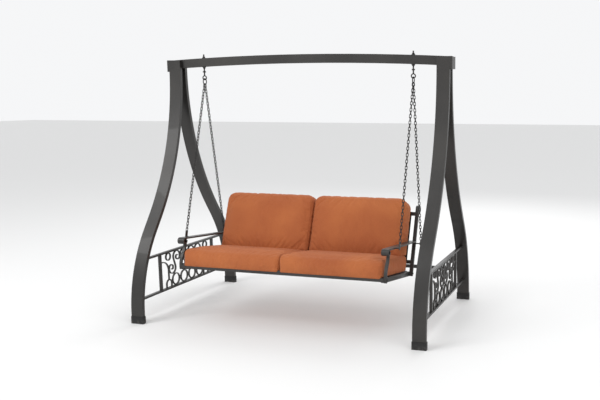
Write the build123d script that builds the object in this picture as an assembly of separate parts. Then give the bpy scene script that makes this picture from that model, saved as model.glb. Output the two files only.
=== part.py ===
"""Two-seat garden glider swing: a curved-leg steel stand, V-shaped chains and a cushioned seat.

Millimetres. +X is to the sitter's left as seen from the front, +Y is to the back, +Z is up.
The origin is on the floor at the centre of the stand.
"""
from build123d import *
import math
import os

os.makedirs("parts", exist_ok=True)

# ---------------------------------------------------------------- driving sizes
# stand
LEG_SPAN = 2012.0          # between the leg centre planes
LEG_WIDTH = 89.0           # leg tube along X
LEG_DEPTH = 26.0           # leg tube across its curve
LEG_WALL = 2.0
LEG_TOP_Z = 1805.0
FOOT_Y = 610.0             # foot centre, front or back of the middle
HEAD_Y = 32.0              # leg centre at the beam
KNEE_Z = 366.0             # where the lower straight and the slanted line would meet
SHOULDER_Z = 1162.0        # where the slanted line and the upper straight would meet
KNEE_RADIUS = 960.0
SHOULDER_RADIUS = 1780.0
BOOT_HEIGHT = 50.0
BOOT_WALL = 3.0
BOOT_FLOOR = 4.0
BOOT_PLAY = 0.5

# crossbeam
BEAM_HEIGHT = 60.0
BEAM_WALL = 2.0
BEAM_RISE = 30.0
CAP_THICKNESS = 17.5
CAP_HEIGHT = 82.0
CAP_PLUG = 22.0
LEG_BOLT_DIAMETER = 8.0
LEG_BOLT_DROPS = (16.0, 42.0)      # below the leg's top
HOLE_PLAY = 0.3

# side panels
PANEL_TOP_Z = 428.0
PANEL_BOTTOM_Z = 158.0
RAIL_HEIGHT = 13.0
RAIL_WIDTH = 25.0
PANEL_POST_Y = 338.0
PANEL_POST = 19.0
SCROLL_BAR = 7.0           # in the plane of the panel
SCROLL_WIDTH = 12.0        # across the panel
RING_COUNT = 4
RING_PITCH = 104.0
RING_RADIUS = 45.0
VOLUTE_RADIUS = 44.0
S_RADIUS = 40.0
S_SLOPE = 70.0
ARCH_RADIUS = 30.0
ARCH_LEG = 26.0
ROUND_RADIUS = 30.0
STEM_TOP = 0.77            # of the field's height
STEM_TAIL = 14.0
STRETCHER_Z = 298.0
STRETCHER_HEIGHT = 24.0
STRETCHER_DEPTH = 19.0

# hanger
HANGER_X = 790.0
EYE_Z = 1680.0
EYE_RADIUS = 14.0          # to the middle of the wire
EYE_WIRE = 8.0
EYEBOLT_DIAMETER = 10.0
EYEBOLT_REACH = 28.0       # above the beam's top
SHOULDER_UP = 42.0         # forged collar, above the middle of the eye
HANGER_RING_RADIUS = 21.0  # to the middle of the wire
HANGER_RING_WIRE = 7.0
LINK_WIRE = 5.0
LINK_INNER_LENGTH = 22.3
LINK_INNER_WIDTH = 8.6
LINK_PLAY = 0.3
FRONT_LINKS = 49
REAR_LINKS = 51
FRONT_CHAIN_ANGLE = 16.7   # from straight down
REAR_CHAIN_ANGLE = 9.1
LUG_THICKNESS = 6.0
LUG_RADIUS = 11.0
LUG_HOLE = 5.5             # radius
LUG_PLAY = 1.5             # link wire to hole, at the middle of the bend
LUG_BOSS = 4.5             # radius
LUG_DROP = 27.0            # hole to boss

# seat frame
SEAT_HALF_WIDTH = 732.0    # outside of the side rails
SEAT_FRONT_Y = -484.0      # front lower corner
SEAT_FRONT_Z = 376.0
SEAT_TILT = 8.5
SEAT_DEPTH = 592.0
TUBE = 25.0
TUBE_WALL = 1.6
SIDE_RAIL_HEIGHT = 32.0
SLAT_COUNT = 9
SLAT_WIDTH = 40.0
SLAT_THICKNESS = 4.0
BACK_RECLINE = 21.0
BACK_POST_HEIGHT = 490.0   # along the post, to the start of its rolled top
BACK_POST_WIDTH = 25.0
BACK_POST_DEPTH = 16.0
BACK_ROLL_RADIUS = 19.0
BACK_TOP_RAIL_AT = 450.0   # along the post, from its foot
BACK_LOW_RAIL_AT = 100.0
BACK_RAIL_DEPTH = 20.0
BACK_SLAT_COUNT = 9
BACK_SLAT_WIDTH = 30.0
ARM_X = 738.0
ARM_WIDTH = 50.0
ARM_THICKNESS = 10.0
ARM_LENGTH = 618.0         # straight part, from the back post
ARM_SLOPE = 5.5
ARM_REAR_AT = 250.0        # along the back post, from its foot
ARM_ROLL_RADIUS = 22.5     # outside
ARM_POST_WIDTH = 20.0
ARM_POST_THICKNESS = 12.0
ARM_POST_BEND = 131.0
FRAME_BOLT = 8.0

# cushions
CUSHION_HALF_WIDTH = 709.0
CUSHION_GAP = 6.0
SEAT_CUSHION_THICKNESS = 112.0
SEAT_CUSHION_OVERHANG = 10.0
SEAT_CUSHION_DEPTH = 560.0
BACK_CUSHION_THICKNESS = 158.0
BACK_CUSHION_TOP_AT = 530.0
CUSHION_EDGE = 24.0
REST_GAP = 0.3             # between a cushion and what it lies on

# ---------------------------------------------------------------- helpers
ON_BASE = (Align.CENTER, Align.CENTER, Align.MIN)


def save(node, *shapes):
    """Write the solids of one sub-part to its STEP file."""
    solids = [solid for shape in shapes for solid in shape.solids()]
    whole = solids[0] if len(solids) == 1 else Compound(children=solids)
    export_step(whole, f"parts/{node}.step")


def block(x, y, z):
    """A box from three (low, high) pairs."""
    centre = [(low + high) / 2 for low, high in (x, y, z)]
    return Pos(*centre) * Box(x[1] - x[0], y[1] - y[0], z[1] - z[0])


def rod(start, end, radius):
    """A round bar between two points."""
    line = Vector(*end) - Vector(*start)
    return Plane(origin=start, z_dir=line) * Cylinder(radius, line.length, align=ON_BASE)


def square_tube(start, end, width, height, wall, x_dir=(1, 0, 0)):
    """A rectangular tube along a straight line: width along x_dir, height across it."""
    line = Vector(*end) - Vector(*start)
    section = Plane(origin=start, x_dir=x_dir, z_dir=line) * (
        RectangleRounded(width, height, wall * 1.2) - Rectangle(width - 2 * wall, height - 2 * wall)
    )
    return extrude(section, line.length)


def side_plane(x):
    """The YZ plane at x: local x is +Y and local y is +Z."""
    return Plane(origin=(x, 0, 0), x_dir=(0, 1, 0), z_dir=(1, 0, 0))


def bent_path(start, heading, turns):
    """A flat line of bends that run smoothly into each other, given as (radius, degrees) pairs.

    A positive angle bends to the left. A radius of 0 is a straight of that length.
    """
    point = Vector(*start)
    way = Vector(math.cos(math.radians(heading)), math.sin(math.radians(heading)))
    edges = []
    for radius, amount in turns:
        if radius == 0:
            edge = Line(point, point + way * amount)
        else:
            edge = JernArc(start=point, tangent=way, radius=radius, arc_size=amount)
        edges.append(edge)
        point = edge @ 1
        way = edge % 1
    return Wire(edges)


def both_sides(shape):
    """The part as made on the +X side and its mirror image, by side name."""
    return {"right": shape, "left": mirror(shape, about=Plane.YZ)}


# ---------------------------------------------------------------- stand: legs and boots


def leg_path(side):
    """Centre line of a leg in the YZ plane; side is -1 at the front and +1 at the back."""
    return FilletPolyline(
        (0, side * FOOT_Y, BOOT_FLOOR),
        (0, side * FOOT_Y, KNEE_Z),
        (0, side * HEAD_Y, SHOULDER_Z),
        (0, side * HEAD_Y, LEG_TOP_Z),
        radius=[KNEE_RADIUS, SHOULDER_RADIUS],
    )


def leg_bar(side, inset=0.0):
    """The leg's outer form, or its hollow when inset is the wall."""
    path = leg_path(side)
    section = Plane(origin=path @ 0, x_dir=(1, 0, 0), z_dir=path % 0) * Rectangle(
        LEG_WIDTH - 2 * inset, LEG_DEPTH - 2 * inset
    )
    return sweep(section, path=path)


leg_outline = {side: leg_bar(side) for side in (-1, 1)}
leg_hollow = {side: leg_bar(side, LEG_WALL) for side in (-1, 1)}
beam_depth = 2 * HEAD_Y - LEG_DEPTH
leg_face_y = HEAD_Y + LEG_DEPTH / 2
bolt_heights = [LEG_TOP_Z - drop for drop in LEG_BOLT_DROPS]
bolt_hole = LEG_BOLT_DIAMETER / 2 + HOLE_PLAY
top_plate = Pos(0, 0, LEG_TOP_Z - LEG_WALL / 2) * Box(LEG_WIDTH, 2 * leg_face_y, LEG_WALL)
weld_nut_radius = 7.0
weld_nut_height = 6.0

for side, place in ((-1, "front"), (1, "rear")):
    leg = leg_outline[side] - leg_hollow[side] + (top_plate & leg_outline[side])
    for height in bolt_heights:
        # the bolts come in from the back and stop inside the front leg
        depth = leg_face_y + 1 if side == 1 else HEAD_Y
        leg -= rod((0, 0, height), (0, side * depth, height), bolt_hole)
    for name, x in (("left", -LEG_SPAN / 2), ("right", LEG_SPAN / 2)):
        save(f"{place}_leg_{name}", Pos(x, 0, 0) * leg)

boot_inner = (LEG_WIDTH + 2 * BOOT_PLAY, LEG_DEPTH + 2 * BOOT_PLAY)
boot = Box(boot_inner[0] + 2 * BOOT_WALL, boot_inner[1] + 2 * BOOT_WALL, BOOT_HEIGHT, align=ON_BASE)
boot = fillet(boot.edges().filter_by(Axis.Z), BOOT_WALL)
boot -= Pos(0, 0, BOOT_FLOOR) * Box(*boot_inner, BOOT_HEIGHT, align=ON_BASE)
for side, place in ((-1, "front"), (1, "rear")):
    for name, x in (("left", -LEG_SPAN / 2), ("right", LEG_SPAN / 2)):
        save(f"foot_boot_{place}_{name}", Pos(x, side * FOOT_Y, 0) * boot)

# ---------------------------------------------------------------- stand: crossbeam, caps and bolts
beam_half = LEG_SPAN / 2 + LEG_WIDTH / 2
beam_end_z = LEG_TOP_Z - BEAM_HEIGHT / 2
beam_path = ThreePointArc(
    (-beam_half, 0, beam_end_z), (0, 0, beam_end_z + BEAM_RISE), (beam_half, 0, beam_end_z)
)
beam_curve_radius = (beam_half**2 + BEAM_RISE**2) / (2 * BEAM_RISE)


def beam_bar(inset=0.0):
    """The beam's outer form, or its hollow."""
    section = Plane(origin=beam_path @ 0, x_dir=(0, 1, 0), z_dir=beam_path % 0) * Rectangle(
        beam_depth - 2 * inset, BEAM_HEIGHT - 2 * inset
    )
    return sweep(section, path=beam_path)


def beam_centre_z(x):
    """Height of the beam's centre line at x."""
    return beam_end_z + BEAM_RISE - beam_curve_radius + math.sqrt(beam_curve_radius**2 - x**2)


# the ends are cut square to the floor, flush with the legs' outer sides
end_trim = Pos(0, 0, beam_end_z) * Box(2 * beam_half, 2 * beam_depth, 4 * BEAM_HEIGHT)
crossbeam = (beam_bar() - beam_bar(BEAM_WALL)) & end_trim
for x in (-LEG_SPAN / 2, LEG_SPAN / 2):
    for height in bolt_heights:
        crossbeam -= rod((x, -beam_depth, height), (x, beam_depth, height), bolt_hole)
for x in (-HANGER_X, HANGER_X):
    crossbeam -= rod((x, 0, EYE_Z), (x, 0, LEG_TOP_Z + BEAM_HEIGHT), EYEBOLT_DIAMETER / 2 + HOLE_PLAY)
save("crossbeam", crossbeam)

cap_plate = block(
    (beam_half, beam_half + CAP_THICKNESS),
    (-leg_face_y, leg_face_y),
    (LEG_TOP_Z - CAP_HEIGHT, LEG_TOP_Z),
)
cap_plate = fillet(cap_plate.faces().sort_by(Axis.X)[-1].edges(), 3.0)
plug_play = 0.8            # room for the beam's curve inside its end
plug_half = beam_depth / 2 - BEAM_WALL - HOLE_PLAY
hollow_half = BEAM_HEIGHT / 2 - BEAM_WALL
cap_plug = block(
    (beam_half - CAP_PLUG, beam_half),
    (-plug_half, plug_half),
    (beam_end_z - hollow_half + 2 * plug_play, beam_end_z + hollow_half - plug_play),
)
for name, cap in both_sides(cap_plate + cap_plug).items():
    save(f"beam_cap_{name}", cap)

head_height = 5.5
bolts = []
nuts = []
for x in (-LEG_SPAN / 2, LEG_SPAN / 2):
    for height in bolt_heights:
        shank_end = -HEAD_Y + LEG_DEPTH / 2 - LEG_WALL - weld_nut_height
        shank = rod((x, leg_face_y, height), (x, shank_end, height), LEG_BOLT_DIAMETER / 2)
        outer_face = Plane(origin=(x, leg_face_y, height), z_dir=(0, 1, 0))
        bolts.append(shank + outer_face * extrude(RegularPolygon(7.5, 6), head_height))
        nut_blank = Plane(origin=(x, shank_end, height), z_dir=(0, 1, 0)) * extrude(
            RegularPolygon(weld_nut_radius, 6), weld_nut_height
        )
        nuts.append(nut_blank - rod((x, -leg_face_y, height), (x, 0, height), LEG_BOLT_DIAMETER / 2 + 0.05))
save("leg_bolts", *bolts)
save("leg_weld_nuts", *nuts)

# ---------------------------------------------------------------- stand: side panels
both_legs = leg_outline[-1] + leg_outline[1]


def panel_rail(z):
    """A flat rail from leg to leg, cut to the legs' curved inner faces."""
    bar = Pos(0, 0, z) * Box(RAIL_WIDTH, 2 * FOOT_Y, RAIL_HEIGHT)
    pieces = (bar - both_legs).solids()
    return pieces.sort_by(lambda piece: abs(piece.center().Y))[0]


post_low_z = PANEL_BOTTOM_Z + RAIL_HEIGHT / 2
post_high_z = PANEL_TOP_Z - RAIL_HEIGHT / 2
field_height = post_high_z - post_low_z
field_half = PANEL_POST_Y - PANEL_POST / 2


def scroll(start, heading, turns):
    """A bent bar in the panel's field."""
    path = bent_path(start, heading, turns)
    section = Plane(origin=path @ 0, x_dir=(0, 0, 1), z_dir=path % 0) * Rectangle(SCROLL_WIDTH, SCROLL_BAR)
    return sweep(section, path=path)


def field_ring(centre, radius):
    """A closed ring in the panel's field."""
    face = Circle(radius) - Circle(radius - SCROLL_BAR)
    return Pos(*centre) * extrude(face, SCROLL_WIDTH / 2, both=True)


def half_scrollwork():
    """The bars on one side of the panel's middle, in the field's own frame: x along the rail, y up."""
    line = SCROLL_BAR / 2
    ring_top = 2 * RING_RADIUS
    half_rise = (field_height - ring_top) / 2 - line
    middle = ring_top + line + half_rise
    bars = []
    # the row of rings on the bottom rail, tied by collars
    for i in range(RING_COUNT // 2):
        bars.append(field_ring(((i + 0.5) * RING_PITCH, RING_RADIUS), RING_RADIUS))
        tie = RING_PITCH - 2 * RING_RADIUS + 4
        bars.append(Pos(i * RING_PITCH, RING_RADIUS) * Box(tie, 12, SCROLL_WIDTH + 3))
    # two volutes back to back beside the middle
    volute_x = line + 0.5
    upright = half_rise - VOLUTE_RADIUS
    curl = [(VOLUTE_RADIUS, 200), (VOLUTE_RADIUS * 0.68, 150), (VOLUTE_RADIUS * 0.36, 170)]
    for way, turn in ((90, -1), (-90, 1)):
        bends = [(0, upright)] + [(radius, turn * angle) for radius, angle in curl]
        bars.append(scroll((volute_x, middle), way, bends))
    # an S beside them, from the top rail down to the stem
    slope = math.radians(S_SLOPE)
    run = (half_rise - S_RADIUS * (1 + math.cos(slope))) / math.sin(slope)
    reach = S_RADIUS * (1 + math.sin(slope)) - run * math.cos(slope)
    s_x = volute_x + 2 * VOLUTE_RADIUS + SCROLL_BAR - 0.5 + reach
    for way in (S_SLOPE, S_SLOPE - 180):
        bends = [(0, run), (S_RADIUS, 210), (S_RADIUS * 0.62, 150), (S_RADIUS * 0.35, 150)]
        bars.append(scroll((s_x, middle), way, bends))
    # the arch on the bottom rail, and the stem that rises from it and leans on the post
    stem_x = s_x + reach + SCROLL_BAR - 0.5
    bars.append(scroll((stem_x - ARCH_RADIUS, 0), 90, [(0, ARCH_LEG), (ARCH_RADIUS, -180), (0, ARCH_LEG)]))
    ring_side = (RING_COUNT / 2) * RING_PITCH - RING_PITCH / 2 + RING_RADIUS
    tie_y = (RING_RADIUS - 27, RING_RADIUS - 17)
    bars.append(block((ring_side - 2, stem_x - ARCH_RADIUS), tie_y, (-line, line)))
    lean = field_half - stem_x - STEM_TAIL
    rise = max(1.0, STEM_TOP * field_height - ARCH_LEG - ARCH_RADIUS - lean)
    bars.append(scroll((stem_x, ARCH_LEG + ARCH_RADIUS), 90, [(0, rise), (lean, -90), (0, STEM_TAIL)]))
    bars.append(field_ring((stem_x, field_height - ROUND_RADIUS), ROUND_RADIUS))
    return bars


def scrollwork():
    """All the bars of one panel as one welded piece."""
    bars = half_scrollwork()
    half = bars[0] + bars[1:]
    return half + mirror(half, about=Plane.YZ)


panel_lattice = Plane(origin=(0, 0, post_low_z), x_dir=(0, 1, 0), z_dir=(1, 0, 0)) * scrollwork()
for name, x in (("left", -LEG_SPAN / 2), ("right", LEG_SPAN / 2)):
    save(f"panel_top_rail_{name}", Pos(x, 0, 0) * panel_rail(PANEL_TOP_Z))
    save(f"panel_bottom_rail_{name}", Pos(x, 0, 0) * panel_rail(PANEL_BOTTOM_Z))
    save(f"panel_scrollwork_{name}", Pos(x, 0, 0) * panel_lattice)
    for side, place in ((-1, "front"), (1, "rear")):
        ends = [(x, side * PANEL_POST_Y, z) for z in (post_low_z, post_high_z)]
        save(f"panel_post_{place}_{name}", square_tube(*ends, PANEL_POST, PANEL_POST, TUBE_WALL))

stretcher_half = LEG_SPAN / 2 - PANEL_POST / 2
stretcher = square_tube(
    (-stretcher_half, PANEL_POST_Y, STRETCHER_Z), (stretcher_half, PANEL_POST_Y, STRETCHER_Z),
    STRETCHER_DEPTH, STRETCHER_HEIGHT, TUBE_WALL, x_dir=(0, 1, 0),
)
save("rear_stretcher", stretcher)

# ---------------------------------------------------------------- hanger: eyebolts, rings and chains
beam_solid = beam_bar()
beam_top_here = beam_centre_z(HANGER_X) + BEAM_HEIGHT / 2
beam_low_here = beam_centre_z(HANGER_X) - BEAM_HEIGHT / 2
bolt_top_z = beam_top_here + EYEBOLT_REACH

eye = Pos(HANGER_X, 0, EYE_Z) * Rot(90, 0, 0) * Torus(EYE_RADIUS, EYE_WIRE / 2)
shank = rod((HANGER_X, 0, EYE_Z + EYE_RADIUS), (HANGER_X, 0, bolt_top_z), EYEBOLT_DIAMETER / 2)
collar = Pos(HANGER_X, 0, EYE_Z + SHOULDER_UP) * Cylinder(EYEBOLT_DIAMETER + 1, 10)
for name, bolt in both_sides(eye + shank + fillet(collar.edges(), 2.5)).items():
    save(f"eyebolt_{name}", bolt)

washer_thickness = 4.0
nut_height = 8.5
bolt_bore = rod((HANGER_X, 0, EYE_Z), (HANGER_X, 0, bolt_top_z + 10), EYEBOLT_DIAMETER / 2 + 0.1)
washer_blank = Cylinder(13.5, 2 * washer_thickness) - Cylinder(EYEBOLT_DIAMETER / 2 + HOLE_PLAY, 30)
upper_washer = Pos(HANGER_X, 0, beam_top_here) * washer_blank - beam_solid
lower_washer = Pos(HANGER_X, 0, beam_low_here) * washer_blank - beam_solid
upper_washer = upper_washer.solids().sort_by(Axis.Z)[-1]
lower_washer = lower_washer.solids().sort_by(Axis.Z)[0]
save("eyebolt_washers", *both_sides(upper_washer).values(), *both_sides(lower_washer).values())

nut = extrude(RegularPolygon(9.8, 6), nut_height)
upper_nut = Pos(HANGER_X, 0, beam_top_here + washer_thickness) * nut - bolt_bore
lower_nut = Pos(HANGER_X, 0, beam_low_here - washer_thickness - nut_height) * nut - bolt_bore
save("eyebolt_nuts", *both_sides(upper_nut).values(), *both_sides(lower_nut).values())

# the ring hangs on the lowest point of the eye's wire, which is the axis of the swing
pivot_z = EYE_Z - EYE_RADIUS
hanger_ring_z = pivot_z + EYE_WIRE / 2 + HANGER_RING_WIRE / 2 + LINK_PLAY - HANGER_RING_RADIUS
hanger_ring = Rot(0, 90, 0) * Torus(HANGER_RING_RADIUS, HANGER_RING_WIRE / 2)
hanger_ring = Pos(HANGER_X, 0, hanger_ring_z) * hanger_ring
for name, ring in both_sides(hanger_ring).items():
    save(f"hanger_ring_{name}", ring)

link_end = (LINK_INNER_WIDTH + LINK_WIRE) / 2
link_straight = LINK_INNER_LENGTH + LINK_WIRE - 2 * link_end
link_pitch = LINK_INNER_LENGTH - LINK_PLAY
first_bend = HANGER_RING_RADIUS - HANGER_RING_WIRE / 2 - LINK_PLAY - LINK_WIRE / 2


def chain_link():
    """One welded link, its length along Z and its width along X, centred."""
    low_end = revolve(Pos(link_end, 0) * Circle(LINK_WIRE / 2), Axis.Y, 180)
    high_end = Rot(0, 180, 0) * low_end
    bars = [Pos(x, 0, 0) * Cylinder(LINK_WIRE / 2, link_straight) for x in (-link_end, link_end)]
    return Pos(0, 0, -link_straight / 2) * low_end + Pos(0, 0, link_straight / 2) * high_end + bars


def chain_line(angle, count):
    """Where a chain's last bend is, seen from the side, and the way it runs."""
    way = Vector(0, math.sin(math.radians(angle)), -math.cos(math.radians(angle)))
    length = first_bend + (count - 1) * link_pitch + LINK_INNER_LENGTH + LINK_WIRE
    return Vector(0, 0, hanger_ring_z) + way * length, way


def chain(x, angle, count):
    """A straight chain from the hanger ring at x; the first and last links lie across the swing."""
    way = chain_line(angle, count)[1]
    across = way.cross(Vector(1, 0, 0))
    link = chain_link()
    links = []
    for i in range(count):
        middle = first_bend + (LINK_INNER_LENGTH + LINK_WIRE) / 2 + i * link_pitch
        place = Vector(x, 0, hanger_ring_z) + way * middle
        links.append(Plane(origin=place, x_dir=across if i % 2 else (1, 0, 0), z_dir=way) * link)
    return links


chain_ends = {}
chain_runs = {"front": (-FRONT_CHAIN_ANGLE, FRONT_LINKS), "rear": (REAR_CHAIN_ANGLE, REAR_LINKS)}
for place, (angle, count) in chain_runs.items():
    chain_ends[place] = chain_line(angle, count)
    for name, x in (("left", -HANGER_X), ("right", HANGER_X)):
        save(f"chain_{place}_{name}", *chain(x, angle, count))

# ---------------------------------------------------------------- seat frame
tilt = math.radians(SEAT_TILT)
seat_plane = Plane(
    origin=(0, SEAT_FRONT_Y, SEAT_FRONT_Z), x_dir=(1, 0, 0), z_dir=(0, math.sin(tilt), math.cos(tilt))
)
rail_inner_x = SEAT_HALF_WIDTH - TUBE


def closed_tube(x, y, z, wall=TUBE_WALL):
    """A rectangular tube with welded end plates, given by its outer (low, high) pairs."""
    hollow = block(*[(low + wall, high - wall) for low, high in (x, y, z)])
    return block(x, y, z) - hollow


front_rail = closed_tube((-SEAT_HALF_WIDTH, SEAT_HALF_WIDTH), (0, TUBE), (0, TUBE))
rear_rail = closed_tube((-SEAT_HALF_WIDTH, SEAT_HALF_WIDTH), (SEAT_DEPTH - TUBE, SEAT_DEPTH), (0, TUBE))
side_rail = closed_tube(
    (rail_inner_x, SEAT_HALF_WIDTH), (TUBE, SEAT_DEPTH - TUBE), (TUBE - SIDE_RAIL_HEIGHT, TUBE)
)
slat_step = (2 * rail_inner_x - SLAT_WIDTH) / (SLAT_COUNT - 1)
slats = []
for i in range(SLAT_COUNT):
    low_x = -rail_inner_x + i * slat_step
    slats.append(block((low_x, low_x + SLAT_WIDTH), (0, SEAT_DEPTH), (TUBE, TUBE + SLAT_THICKNESS)))
save("seat_slats", *[seat_plane * slat for slat in slats])

# back posts stand on the outer sides of the side rails, at the rear
recline = math.radians(BACK_RECLINE)
foot = seat_plane.from_local_coords(Vector(0, SEAT_DEPTH - 22, -5))
back_up = (0, math.sin(recline), math.cos(recline))
back_plane = Plane(origin=(0, foot.Y, foot.Z), x_dir=(1, 0, 0), z_dir=back_up)
post_x = SEAT_HALF_WIDTH + BACK_POST_WIDTH / 2
side_view = side_plane(0)


def bent_bar(start, heading, turns, width, thickness):
    """A flat bar bent in the YZ plane at x = 0, with start as (y, z)."""
    path = bent_path(start, heading, turns)
    section = Plane(origin=path @ 0, x_dir=(0, 0, 1), z_dir=path % 0) * Rectangle(width, thickness)
    return side_view * sweep(section, path=path)


post_bends = [(0, BACK_POST_HEIGHT), (BACK_ROLL_RADIUS, -245)]
back_post = Pos(post_x, 0, 0) * bent_bar(
    (foot.Y, foot.Z), 90 - BACK_RECLINE, post_bends, BACK_POST_WIDTH, BACK_POST_DEPTH
)
back_front = -BACK_POST_DEPTH / 2


def back_rail(at):
    """A tube from post to post, its front flush with theirs."""
    return back_plane * closed_tube(
        (-SEAT_HALF_WIDTH, SEAT_HALF_WIDTH),
        (back_front, back_front + BACK_RAIL_DEPTH),
        (at - TUBE / 2, at + TUBE / 2),
    )


save("back_top_rail", back_rail(BACK_TOP_RAIL_AT))
save("back_low_rail", back_rail(BACK_LOW_RAIL_AT))
back_slat_step = (2 * rail_inner_x - BACK_SLAT_WIDTH) / (BACK_SLAT_COUNT - 1)
back_slats = []
for i in range(BACK_SLAT_COUNT):
    low_x = -rail_inner_x + i * back_slat_step
    slat = block(
        (low_x, low_x + BACK_SLAT_WIDTH),
        (back_front - SLAT_THICKNESS, back_front),
        (BACK_LOW_RAIL_AT - TUBE / 2, BACK_TOP_RAIL_AT + TUBE / 2),
    )
    back_slats.append(back_plane * slat)
save("back_slats", *back_slats)

# arms run forward from the posts and roll under at the front
arm_root = back_plane.from_local_coords(Vector(0, 0, ARM_REAR_AT))
arm_bends = [(0, ARM_LENGTH), (ARM_ROLL_RADIUS - ARM_THICKNESS / 2, 285)]
arm = Pos(ARM_X, 0, 0) * bent_bar(
    (arm_root.Y, arm_root.Z), 180 - ARM_SLOPE, arm_bends, ARM_WIDTH, ARM_THICKNESS
)
post_zone = back_plane * block(
    (SEAT_HALF_WIDTH - 60, SEAT_HALF_WIDTH + 60), (back_front, back_front + 60), (0, BACK_POST_HEIGHT)
)
arm -= post_zone


def arm_height(y):
    """Height of the arm's middle at y."""
    return arm_root.Z + (arm_root.Y - y) * math.tan(math.radians(ARM_SLOPE))


arm_post_x = SEAT_HALF_WIDTH + ARM_POST_WIDTH / 2
post_foot = seat_plane.from_local_coords(Vector(0, 14, 2 - (SIDE_RAIL_HEIGHT - TUBE)))
arm_post_bends = [(ARM_POST_BEND, -50), (ARM_POST_BEND, 40), (0, 30)]
arm_post = Pos(arm_post_x, 0, 0) * bent_bar(
    (post_foot.Y, post_foot.Z), 100, arm_post_bends, ARM_POST_WIDTH, ARM_POST_THICKNESS
)
arm_post = (arm_post - arm).solids().sort_by(Axis.Z)[0]

# one bolt at the foot of each post, into the end of the front or rear rail
bolt_z = TUBE / 2
post_lean = math.tan(recline - tilt)
bolt_places = {
    "arm_post": (14.0, ARM_POST_WIDTH),
    "back_post": (SEAT_DEPTH - 22 + (bolt_z + 5) * post_lean, BACK_POST_WIDTH),
}


def across_seat(x_low, x_high, local_y, radius):
    """A round bar along X at the height of the frame bolts."""
    ends = [seat_plane.from_local_coords(Vector(x, local_y, bolt_z)) for x in (x_low, x_high)]
    return rod(tuple(ends[0]), tuple(ends[1]), radius)


frame_bolts = []
bolt_holes = {}
for post, (local_y, width) in bolt_places.items():
    outside = SEAT_HALF_WIDTH + width
    tip = SEAT_HALF_WIDTH - TUBE_WALL - 6
    head = across_seat(outside, outside + 4, local_y, FRAME_BOLT * 0.9)
    head = fillet(head.edges().filter_by(GeomType.CIRCLE).sort_by(Axis.X)[-1:], 2.5)
    frame_bolts.append(head + across_seat(tip, outside, local_y, FRAME_BOLT / 2))
    bolt_holes[post] = across_seat(tip - 4, outside + 4, local_y, FRAME_BOLT / 2 + HOLE_PLAY)
save("frame_bolts", *[piece for bolt in frame_bolts for piece in both_sides(bolt).values()])

front_hole = bolt_holes["arm_post"]
rear_hole = bolt_holes["back_post"]
save("seat_front_rail", seat_plane * front_rail - front_hole - mirror(front_hole, about=Plane.YZ))
save("seat_rear_rail", seat_plane * rear_rail - rear_hole - mirror(rear_hole, about=Plane.YZ))
for name, piece in both_sides(seat_plane * side_rail).items():
    save(f"seat_side_rail_{name}", piece)
for name, piece in both_sides(back_post - rear_hole).items():
    save(f"back_post_{name}", piece)
for name, piece in both_sides(arm).items():
    save(f"arm_{name}", piece)
for name, piece in both_sides(arm_post - front_hole).items():
    save(f"arm_post_{name}", piece)

# ---------------------------------------------------------------- chain lugs


def chain_lug(place, boss_centre, inner_x):
    """A flat lug outside the arm or back post, with the hole that the last link goes through."""
    last_bend, way = chain_ends[place]
    hole = last_bend + way * LUG_PLAY
    top = Vector(HANGER_X - LUG_THICKNESS / 2, hole.Y, hole.Z)
    low = Vector(HANGER_X - LUG_THICKNESS / 2, boss_centre.Y, boss_centre.Z)
    across = (low - top).cross(Vector(1, 0, 0)).normalized() * LUG_RADIUS
    web = make_face(Polyline(top + across, low + across, low - across, top - across, close=True))
    plate = extrude(web, LUG_THICKNESS, dir=(1, 0, 0))
    for centre in (top, low):
        plate += rod(tuple(centre), tuple(centre + Vector(LUG_THICKNESS, 0, 0)), LUG_RADIUS)
    plate += rod((inner_x, boss_centre.Y, boss_centre.Z), tuple(low + Vector(1, 0, 0)), LUG_BOSS)
    through = rod(tuple(top - Vector(5, 0, 0)), tuple(top + Vector(LUG_THICKNESS + 5, 0, 0)), LUG_HOLE)
    return plate - through


front_end, front_way = chain_ends["front"]
boss_y = front_end.Y + front_way.Y * LUG_DROP
front_lug = chain_lug("front", Vector(0, boss_y, arm_height(boss_y)), ARM_X + ARM_WIDTH / 2)
rear_end, rear_way = chain_ends["rear"]
rear_boss_at = back_plane.to_local_coords(rear_end + rear_way * LUG_DROP).Z
rear_boss = back_plane.from_local_coords(Vector(0, 0, rear_boss_at))
rear_lug = chain_lug("rear", rear_boss, SEAT_HALF_WIDTH + BACK_POST_WIDTH)
for name, piece in both_sides(front_lug).items():
    save(f"chain_lug_front_{name}", piece)
for name, piece in both_sides(rear_lug).items():
    save(f"chain_lug_rear_{name}", piece)

# ---------------------------------------------------------------- cushions
seat_top = TUBE + SLAT_THICKNESS + REST_GAP
cushion_x = (CUSHION_GAP / 2, CUSHION_HALF_WIDTH)
seat_cushion = block(
    cushion_x,
    (-SEAT_CUSHION_OVERHANG, SEAT_CUSHION_DEPTH - SEAT_CUSHION_OVERHANG),
    (seat_top, seat_top + SEAT_CUSHION_THICKNESS),
)
seat_cushion = fillet(seat_cushion.edges().filter_by(Axis.X), CUSHION_EDGE)
for name, piece in both_sides(seat_plane * seat_cushion).items():
    save(f"seat_cushion_{name}", piece)

back_face = back_front - SLAT_THICKNESS - REST_GAP
back_cushion = block(cushion_x, (back_face - BACK_CUSHION_THICKNESS, back_face), (0, BACK_CUSHION_TOP_AT))
top_edges = back_cushion.edges().filter_by(Axis.X).sort_by(Axis.Z)[-2:]
back_cushion = back_plane * fillet(top_edges, 2 * CUSHION_EDGE)
under = seat_plane * block(
    (-SEAT_HALF_WIDTH, SEAT_HALF_WIDTH),
    (-100, 2 * SEAT_DEPTH),
    (-400, seat_top + SEAT_CUSHION_THICKNESS + REST_GAP),
)
back_cushion -= under
for name, piece in both_sides(back_cushion).items():
    save(f"back_cushion_{name}", piece)
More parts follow.
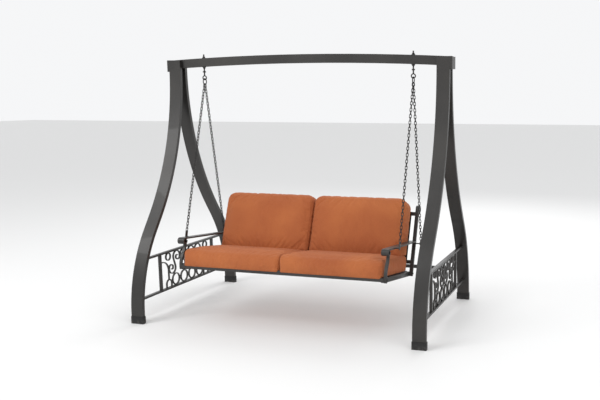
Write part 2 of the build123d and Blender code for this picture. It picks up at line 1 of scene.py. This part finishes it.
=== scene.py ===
"""Garden glider swing: powder-coated stand and bench, chain hangers and boxed cushions."""
import math

import bmesh
import bpy
import numpy as np
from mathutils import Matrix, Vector


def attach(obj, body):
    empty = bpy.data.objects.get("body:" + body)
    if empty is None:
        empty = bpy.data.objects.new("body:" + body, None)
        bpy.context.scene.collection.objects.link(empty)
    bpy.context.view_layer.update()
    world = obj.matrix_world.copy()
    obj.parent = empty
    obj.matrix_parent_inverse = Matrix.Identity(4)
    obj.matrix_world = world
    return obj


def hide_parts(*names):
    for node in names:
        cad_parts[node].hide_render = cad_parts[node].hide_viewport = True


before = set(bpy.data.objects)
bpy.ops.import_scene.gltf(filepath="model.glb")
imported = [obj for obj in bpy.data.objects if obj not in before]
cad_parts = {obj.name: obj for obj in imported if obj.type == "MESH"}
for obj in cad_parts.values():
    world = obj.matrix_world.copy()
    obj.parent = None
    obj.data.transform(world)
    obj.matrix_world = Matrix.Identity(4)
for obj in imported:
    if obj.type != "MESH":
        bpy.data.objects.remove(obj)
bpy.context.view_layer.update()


# Legs: bent rectangular steel tube, powder coated dark bronze.
# The coat is fine orange peel, with a little dust and dulling where rain runs down.
class Socket:
    """An output of a finish's node that takes part in sums as a number does."""

    def __init__(self, finish, output):
        self.finish = finish
        self.output = output

    def sum(self, operation, *values):
        return self.finish.node("ShaderNodeMath", {"operation": operation}, dict(enumerate(values)))

    def __add__(self, other):
        return self.sum("ADD", self, other)

    def __radd__(self, other):
        return self.sum("ADD", other, self)

    def __sub__(self, other):
        return self.sum("SUBTRACT", self, other)

    def __rsub__(self, other):
        return self.sum("SUBTRACT", other, self)

    def __mul__(self, other):
        return self.sum("MULTIPLY", self, other)

    def __rmul__(self, other):
        return self.sum("MULTIPLY", other, self)


class Finish:
    """A material whose shader constants are set by name."""

    def __init__(self, name, **constants):
        self.material = bpy.data.materials.new(name)
        self.material.use_nodes = True
        self.tree = self.material.node_tree
        self.shader = self.tree.nodes["Principled BSDF"]
        for label, value in constants.items():
            self.shader.inputs[label.replace("_", " ")].default_value = value

    def node(self, kind, settings, inputs, output=0):
        node = self.tree.nodes.new(kind)
        for label, value in settings.items():
            setattr(node, label, value)
        for label, value in inputs.items():
            self.feed(node.inputs[label], value)
        return Socket(self, node.outputs[output])

    def feed(self, socket, value):
        if isinstance(value, Socket):
            self.tree.links.new(value.output, socket)
        else:
            socket.default_value = value

    def place(self):
        return self.node("ShaderNodeTexCoord", {}, {}, "Object")

    def noise(self, scale, detail=3.0):
        return self.node("ShaderNodeTexNoise", {}, {"Vector": self.place(), "Scale": scale, "Detail": detail})

    def between(self, factor, low, high):
        return self.node("ShaderNodeMix", {"data_type": "RGBA"}, {0: factor, 6: low, 7: high}, 2)

    def ramp(self, value, low, high):
        limits = {"From Min": low, "From Max": high}
        return self.node("ShaderNodeMapRange", {"clamp": True}, {"Value": value, **limits})

    def relief(self, height, distance, **inputs):
        bump = {"Height": height, "Distance": distance, "Strength": 1.0, **inputs}
        return self.node("ShaderNodeBump", {}, bump)

    def cover(self, names):
        for name in names:
            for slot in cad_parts[name].material_slots:
                slot.material = self.material


powder_coat = Finish("powder_coat_bronze", Metallic=0.2, Coat_Weight=0.15)
dust = powder_coat.ramp(powder_coat.noise(2.3, 5.0), 0.42, 0.68)
flecks = powder_coat.ramp(powder_coat.noise(420.0, 1.0), 0.52, 0.74)
bronze = powder_coat.between(dust * 0.75, (0.016, 0.0148, 0.0135, 1), (0.033, 0.030, 0.027, 1))
speckled = powder_coat.between(flecks * 0.3, bronze, (0.07, 0.063, 0.056, 1))
powder_coat.feed(powder_coat.shader.inputs["Base Color"], speckled)
powder_coat.feed(powder_coat.shader.inputs["Roughness"], 0.36 + dust * 0.16)
soft_edges = powder_coat.node("ShaderNodeBevel", {"samples": 4}, {"Radius": 0.0025})
peel = powder_coat.relief(powder_coat.noise(650.0, 1.0), 0.00025, Normal=soft_edges)
powder_coat.feed(powder_coat.shader.inputs["Normal"], peel)
powder_coat.cover([f"{place}_leg_{side}" for place in ("front", "rear") for side in ("left", "right")])

# Boots: moulded black rubber cups that the legs stand in.
# They are dull, scuffed grey near the floor.
boot_rubber = Finish("boot_rubber", Specular_IOR_Level=0.3)
height = boot_rubber.node("ShaderNodeSeparateXYZ", {}, {"Vector": boot_rubber.place()}, "Z")
scuffs = boot_rubber.ramp(boot_rubber.noise(60.0), 0.45, 0.7) * (1.0 - boot_rubber.ramp(height, 0.0, 0.035))
boot_rubber.feed(
    boot_rubber.shader.inputs["Base Color"],
    boot_rubber.between(scuffs, (0.018, 0.018, 0.018, 1), (0.085, 0.08, 0.075, 1)),
)
boot_rubber.feed(boot_rubber.shader.inputs["Roughness"], 0.62 + scuffs * 0.2)
boot_rubber.feed(boot_rubber.shader.inputs["Normal"], boot_rubber.relief(boot_rubber.noise(300.0), 0.0003))
boot_rubber.cover([f"foot_boot_{place}_{side}" for place in ("front", "rear") for side in ("left", "right")])

# Crossbeam, end caps, side panels and stretcher: welded steel tube, flat and bent bar.
# They are coated with the legs, so they share their finish.
powder_coat.cover(["crossbeam", "rear_stretcher"])
for side in ("left", "right"):
    powder_coat.cover([f"beam_cap_{side}", f"panel_top_rail_{side}", f"panel_bottom_rail_{side}"])
    powder_coat.cover([f"panel_scrollwork_{side}", f"panel_post_front_{side}", f"panel_post_rear_{side}"])

# Chains, rings, eyebolts and the other fasteners: zinc-plated steel gone dark in the weather.
# The plating is blotched in two greys.
dark_zinc = Finish("dark_zinc", Metallic=0.6)
blotch = dark_zinc.ramp(dark_zinc.noise(70.0, 4.0), 0.4, 0.66)
dark_zinc.feed(
    dark_zinc.shader.inputs["Base Color"],
    dark_zinc.between(blotch, (0.018, 0.0175, 0.017, 1), (0.05, 0.047, 0.044, 1)),
)
dark_zinc.feed(dark_zinc.shader.inputs["Roughness"], 0.5 - blotch * 0.14)
dark_zinc.feed(dark_zinc.shader.inputs["Normal"], dark_zinc.relief(dark_zinc.noise(500.0), 0.0002))
for side in ("left", "right"):
    dark_zinc.cover([f"eyebolt_{side}", f"hanger_ring_{side}", f"chain_front_{side}", f"chain_rear_{side}"])
dark_zinc.cover(["eyebolt_nuts", "eyebolt_washers", "leg_bolts", "leg_weld_nuts", "frame_bolts"])

# Bench frame: welded tube and flat bar, with slats under and behind the cushions.
# It is coated like the stand.
powder_coat.cover(["seat_front_rail", "seat_rear_rail", "seat_slats"])
powder_coat.cover(["back_top_rail", "back_low_rail", "back_slats"])
for side in ("left", "right"):
    powder_coat.cover([f"seat_side_rail_{side}", f"back_post_{side}", f"arm_{side}", f"arm_post_{side}"])
    powder_coat.cover([f"chain_lug_front_{side}", f"chain_lug_rear_{side}"])

# Seat cushions: two boxed foam cushions in woven terracotta cloth, lying on the seat slats.
# The panels are sewn to a boxing strip and crown between the sunk seams.
# The front rolls over like a waterfall.
cloth = Finish("terracotta_cloth", Roughness=0.86, Sheen_Weight=0.2, Sheen_Tint=(0.9, 0.42, 0.24, 1))
fading = cloth.ramp(cloth.noise(3.2, 4.0), 0.36, 0.68)
slubs = cloth.ramp(cloth.noise(240.0, 2.0), 0.4, 0.7)
dyed = cloth.between(fading, (0.33, 0.078, 0.019, 1), (0.42, 0.118, 0.030, 1))
cloth.feed(cloth.shader.inputs["Base Color"], cloth.between(slubs * 0.35, dyed, (0.48, 0.15, 0.045, 1)))
across, deep, down = (
    cloth.node("ShaderNodeSeparateXYZ", {}, {"Vector": cloth.place()}, axis) for axis in "XYZ"
)
THREAD_PITCH = 0.0016
turns = 2 * math.pi / THREAD_PITCH
warp = across.sum("SINE", across * turns)
weft = down.sum("SINE", (down + deep) * turns)
cloth.feed(cloth.shader.inputs["Normal"], cloth.relief(warp * weft + slubs * 0.6, 0.0003))

SEAT_TILT = math.radians(8.5)
seat_corner = Vector((0, -0.484, 0.376))
seat_back = Vector((0, math.cos(SEAT_TILT), -math.sin(SEAT_TILT)))
seat_up = Vector((0, math.sin(SEAT_TILT), math.cos(SEAT_TILT)))


SEAM_HALF_WIDTH = 0.004
SEAM_REACH = 0.03          # no seam lies further than this from its panel
TOUCH = 0.0015
GROOVE = 0.0022            # how far the stitching sinks the seam
COVER_CELL = 0.006


def side_distance(points, outline, i):
    """How far inside side i of the outline, seen from the side, each point is."""
    start = np.array(outline[i])
    line = np.array(outline[(i + 1) % len(outline)]) - start
    inward = np.array((line[1], -line[0])) / np.linalg.norm(line)
    return (points[:, 1:] - start) @ inward


def seam_and_rest(points, outline, x_range, panels, rests):
    """Which points are on a seam round a panel, and which are held, there or against something."""
    sides = [side_distance(points, outline, i) for i in range(4)]
    ends = np.minimum(points[:, 0] - x_range[0], x_range[1] - points[:, 0])
    seam = np.zeros(len(points), dtype=bool)
    for panel in panels:
        others = [sides[i] for i in range(4) if i not in panels]
        edge_gap = np.abs(sides[panel] - np.minimum(ends, np.minimum(*others)))
        seam |= (edge_gap < SEAM_HALF_WIDTH) & (sides[panel] < SEAM_REACH)
    rest = np.zeros(len(points), dtype=bool)
    for i in rests:
        rest |= sides[i] < TOUCH
    return seam & ~rest, seam | rest


def filled_block(name, outline, x_range, corner_rounds, end_rounds):
    """A closed block with the outline as its section, each edge rounded by its own radius."""
    shape = bmesh.new()
    widest = max(*corner_rounds, *end_rounds)
    rounding = shape.edges.layers.float.new("bevel_weight_edge")
    rings = [[shape.verts.new((x, y, z)) for y, z in outline] for x in x_range]
    shape.faces.new(rings[0])
    shape.faces.new(rings[1][::-1])
    for i in range(4):
        j = (i + 1) % 4
        shape.faces.new((rings[0][j], rings[0][i], rings[1][i], rings[1][j]))
        shape.edges.get((rings[0][i], rings[1][i]))[rounding] = corner_rounds[i] / widest
        for ring in rings:
            shape.edges.get((ring[i], ring[j]))[rounding] = end_rounds[i] / widest
    bmesh.ops.recalc_face_normals(shape, faces=shape.faces)
    mesh = bpy.data.meshes.new(name)
    shape.to_mesh(mesh)
    shape.free()
    block = bpy.data.objects.new(name, mesh)
    bpy.context.scene.collection.objects.link(block)
    bevel = block.modifiers.new("rounds", "BEVEL")
    bevel.limit_method = "WEIGHT"
    bevel.width = widest
    bevel.segments = 6
    return block


def bake_modifiers(piece):
    """Gives the piece the mesh that its modifiers make."""
    result = bpy.data.meshes.new_from_object(piece.evaluated_get(bpy.context.evaluated_depsgraph_get()))
    piece.modifiers.clear()
    piece.data = result


def points_of(mesh):
    """The mesh's points as an array."""
    flat = np.empty(3 * len(mesh.vertices), dtype=np.float32)
    mesh.vertices.foreach_get("co", flat)
    return flat.reshape(-1, 3).astype(float)


def normals_of(mesh):
    """The way each of the mesh's points faces, as an array."""
    flat = np.empty(3 * len(mesh.vertices), dtype=np.float32)
    mesh.vertex_normals.foreach_get("vector", flat)
    return flat.reshape(-1, 3)


def stuff(piece, held, looseness, most):
    """Swells the cover from inside, held at its seams, each point moving no further than most."""
    group = piece.vertex_groups.new(name="seams")
    group.add([int(i) for i in np.flatnonzero(held)], 1.0, "REPLACE")
    start = points_of(piece.data)
    swell = piece.modifiers.new("swell", "CLOTH")
    swell.settings.vertex_group_mass = "seams"
    swell.settings.use_pressure = True
    swell.settings.uniform_pressure_force = 4.0
    swell.settings.shrink_min = -looseness
    swell.settings.effector_weights.gravity = 0.0
    swell.settings.quality = 3
    swell.point_cache.frame_start = 1
    swell.point_cache.frame_end = 20
    for step in range(1, 21):
        bpy.context.scene.frame_set(step)
    moved = points_of(piece.evaluated_get(bpy.context.evaluated_depsgraph_get()).data) - start
    piece.modifiers.clear()
    piece.vertex_groups.clear()
    bpy.context.scene.frame_set(1)
    reach = np.linalg.norm(moved, axis=1)[:, None]
    return start + moved * (most * np.tanh(reach / most) / np.maximum(reach, 1e-9))


def cushion(name, outline, x_range, rounds, panels, rests, looseness, most, limit):
    """A sewn cushion that replaces the node of the same name."""
    piece = filled_block(name + "_cover", outline, x_range, *rounds)
    remesh = piece.modifiers.new("even", "REMESH")
    remesh.mode = "VOXEL"
    remesh.voxel_size = COVER_CELL
    bake_modifiers(piece)
    seam, held = seam_and_rest(points_of(piece.data), outline, x_range, panels, rests)
    outward = normals_of(piece.data)
    points = stuff(piece, held, looseness, most)
    points[seam] -= outward[seam] * GROOVE
    points = limit(points)
    piece.data.vertices.foreach_set("co", points.astype(np.float32).ravel())
    smoother = piece.modifiers.new("finer", "SUBSURF")
    smoother.levels = 1
    bake_modifiers(piece)
    piece.data.materials.clear()
    piece.data.materials.append(cloth.material)
    piece.data.polygons.foreach_set("use_smooth", [True] * len(piece.data.polygons))
    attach(piece, "swing_seat")
    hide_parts(name)


def seat_point(along, up):
    """Where a point of the seat frame lies, seen from the side."""
    place = seat_corner + seat_back * along + seat_up * up
    return (place.y, place.z)


MIDDLE_GAP = 0.0008        # from the middle of the bench to a cushion
SEAT_COVER_REACH = 0.7295  # from the middle, short of the arm posts at 0.732
BACK_COVER_REACH = 0.7112  # from the middle, short of the arms at 0.713


def clear_sides(points, outer):
    """Keeps the cushion off what is beside it and off the cushion next to it."""
    sign = np.sign(points[:, 0].mean())
    points[:, 0] = sign * np.clip(sign * points[:, 0], MIDDLE_GAP, outer)
    return points


def settle_on_slats(points):
    """The top gives way under the back cushion, and the front hangs a little over the slats' ends."""
    offset = points - np.array(seat_corner)
    along = offset @ np.array(seat_back)
    up = offset @ np.array(seat_up)
    highest = np.interp(along, (0.34, 0.43), (0.155, 0.1412))
    lowest = np.interp(along, (-0.001, 0.004), (0.012, 0.0295))
    shift = np.clip(up, lowest, highest) - up
    return clear_sides(points + shift[:, None] * np.array(seat_up), SEAT_COVER_REACH)


seat_outline = [seat_point(*at) for at in ((-0.011, 0.016), (-0.011, 0.137), (0.548, 0.137), (0.548, 0.0295))]
seat_rounds = ((0.010, 0.046, 0.018, 0.010), (0.026, 0.018, 0.016, 0.008))
for side, x_range, looseness in (("left", (-0.716, -0.003), 0.020), ("right", (0.003, 0.716), 0.024)):
    name = f"seat_cushion_{side}"
    cushion(name, seat_outline, x_range, seat_rounds, (1, 3), (3,), looseness, 0.018, settle_on_slats)

# Back cushions: two taller boxed cushions that stand on the seat cushions and lean on the back slats.
# The same cloth, stuffed softer, so they belly out above the seat.
BACK_RECLINE = math.radians(21)
back_foot = seat_corner + seat_back * 0.570 - seat_up * 0.005
back_rear = Vector((0, math.cos(BACK_RECLINE), -math.sin(BACK_RECLINE)))
back_up = Vector((0, math.sin(BACK_RECLINE), math.cos(BACK_RECLINE)))


def back_point(rear, up):
    """Where a point of the back frame lies, seen from the side."""
    place = back_foot + back_rear * rear + back_up * up
    return (place.y, place.z)


def foot_of_back(rear):
    """Height along the back at which a line this far back meets the seat cushions."""
    lean = BACK_RECLINE - SEAT_TILT
    return (0.1466 + rear * math.sin(lean)) / math.cos(lean)


PRESSED_IN = 0.006         # how far the back cushions' weight sinks them
front_line, rear_line = -0.160, -0.0125
back_outline = [
    back_point(front_line, foot_of_back(front_line) - PRESSED_IN),
    back_point(front_line, 0.530),
    back_point(rear_line, 0.530),
    back_point(rear_line, foot_of_back(rear_line) - PRESSED_IN),
]
back_rounds = ((0.012, 0.040, 0.040, 0.010), (0.026, 0.060, 0.020, 0.010))


def lean_on_slats(points):
    """Keeps the cushion in front of the back slats and off the arms."""
    rear = (points - np.array(back_foot)) @ np.array(back_rear)
    points = points - np.maximum(rear + 0.0123, 0.0)[:, None] * np.array(back_rear)
    return clear_sides(points, BACK_COVER_REACH)


for side, x_range, looseness in (("left", (-0.703, -0.004), 0.030), ("right", (0.004, 0.703), 0.026)):
    name = f"back_cushion_{side}"
    cushion(name, back_outline, x_range, back_rounds, (0, 2), (2, 3), looseness, 0.026, lean_on_slats)

# Floor, light and camera: a pale floor under soft light from the front, the side and behind.
# The camera stands in front, to the right of the bench's middle.
floor_finish = Finish("pale_floor", Roughness=0.9)
floor_finish.shader.inputs["Base Color"].default_value = (0.78, 0.78, 0.775, 1)
floor_mesh = bpy.data.meshes.new("floor")
floor_mesh.from_pydata([(-40, -40, 0), (40, -40, 0), (40, 40, 0), (-40, 40, 0)], [], [(0, 1, 2, 3)])
floor_mesh.materials.append(floor_finish.material)
floor = bpy.data.objects.new("floor", floor_mesh)
bpy.context.scene.collection.objects.link(floor)

sky = bpy.data.worlds.new("studio")
sky.use_nodes = True
sky.node_tree.nodes["Background"].inputs["Color"].default_value = (0.97, 0.975, 0.985, 1)
sky.node_tree.nodes["Background"].inputs["Strength"].default_value = 0.95
bpy.context.scene.world = sky
bpy.context.scene.view_settings.view_transform = "Standard"
for name, place, size, power in (
    ("key", (-3.2, -4.2, 4.6), 3.0, 150),
    ("fill", (4.5, -3.0, 2.6), 3.0, 60),
    ("rim", (0.5, 4.5, 4.0), 3.5, 90),
):
    lamp = bpy.data.lights.new(name, "AREA")
    lamp.size = size
    lamp.energy = power
    holder = bpy.data.objects.new(name, lamp)
    holder.location = place
    holder.rotation_euler = (Vector((0, 0, 0.8)) - Vector(place)).to_track_quat("-Z", "Y").to_euler()
    bpy.context.scene.collection.objects.link(holder)

lens = bpy.data.cameras.new("camera")
lens.sensor_width = 36.0
lens.lens = 44.43
lens.shift_x = -0.208
lens.shift_y = 0.016
camera = bpy.data.objects.new("camera", lens)
camera.location = (2.2207, -4.8250, 1.5286)
camera.rotation_euler = (math.radians(90 - 8.507), 0, math.radians(15.646))
bpy.context.scene.collection.objects.link(camera)
bpy.context.scene.camera = camera
